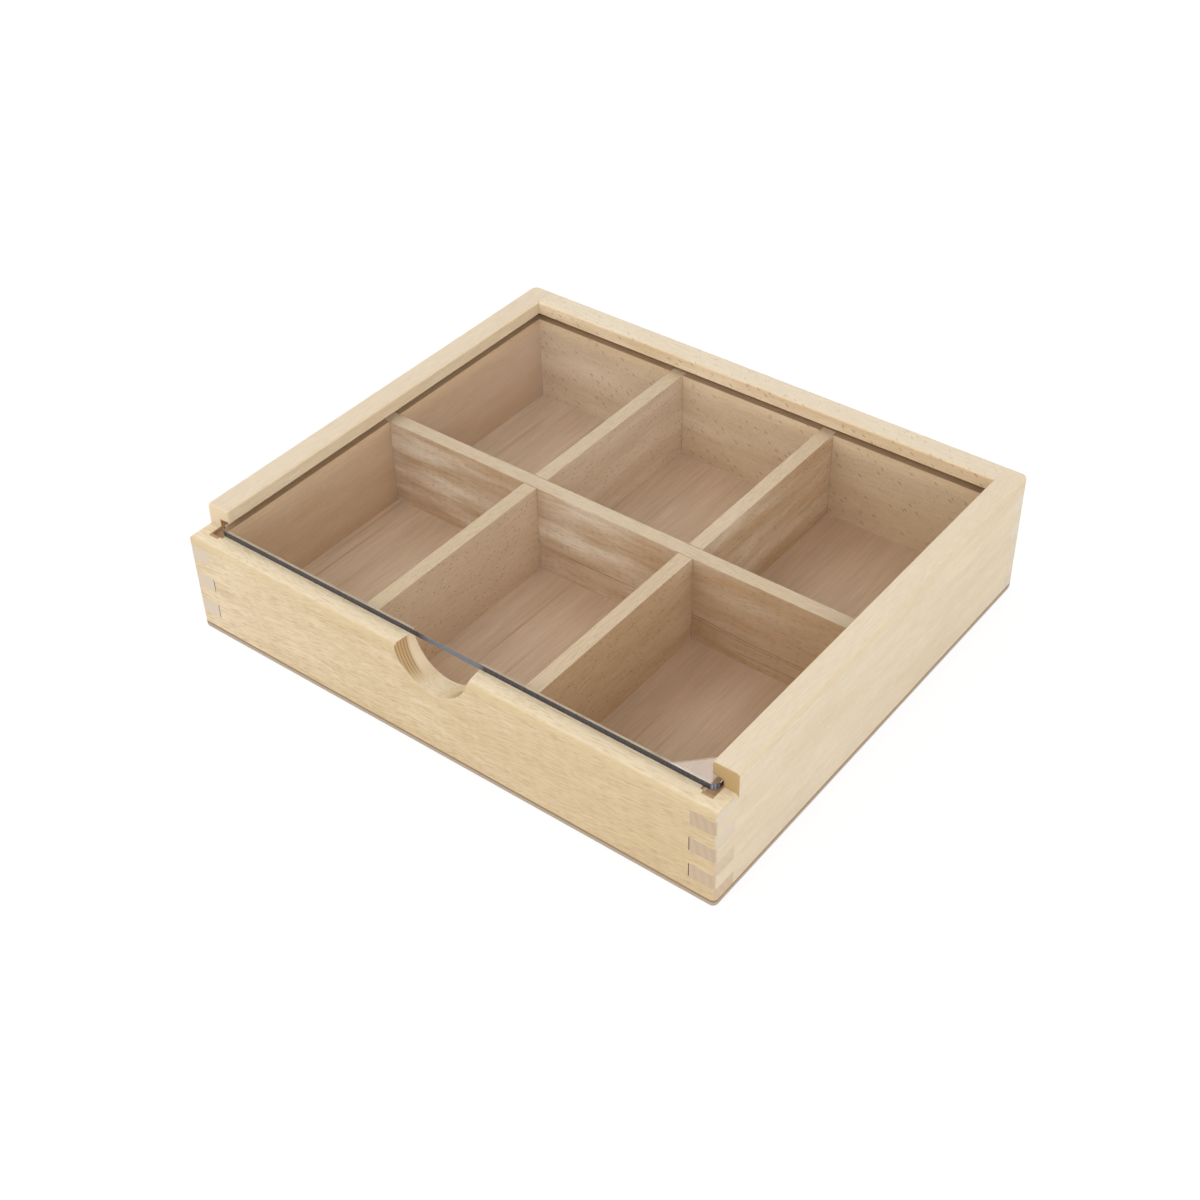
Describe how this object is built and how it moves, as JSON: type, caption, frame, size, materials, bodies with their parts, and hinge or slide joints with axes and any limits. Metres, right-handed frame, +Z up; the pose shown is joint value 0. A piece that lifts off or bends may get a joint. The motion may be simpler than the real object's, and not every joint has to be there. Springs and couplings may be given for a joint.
{
  "type": "tea bag organizer box",
  "caption": "Low finger-jointed wooden box with open compartments for tea bags and a clear lid that slides forward in wall grooves.",
  "frame": {"origin": "on the table, under the middle of the box", "axes": "+X to the right along the front wall, +Y from the front wall to the back wall, +Z up"},
  "size_m": [0.23, 0.198, 0.05],
  "materials": {
    "beech": "clear matt",
    "plywood": "clear matt",
    "beech_divider": "clear matt",
    "clear_acrylic": "polished"
  },
  "bodies": {
    "box": {"front_wall": "beech", "back_wall": "beech", "left_wall": "beech", "right_wall": "beech", "bottom_panel": "plywood", "long_divider": "beech_divider", "cross_divider_left": "beech_divider", "cross_divider_right": "beech_divider"},
    "sliding_lid": {"lid": "clear_acrylic"}
  },
  "joints": [
    {"name": "lid_slide", "type": "slide", "parent": "box", "child": "sliding_lid", "axis": [0, -1, 0], "range_m": [0, 0.18]}
  ]
}
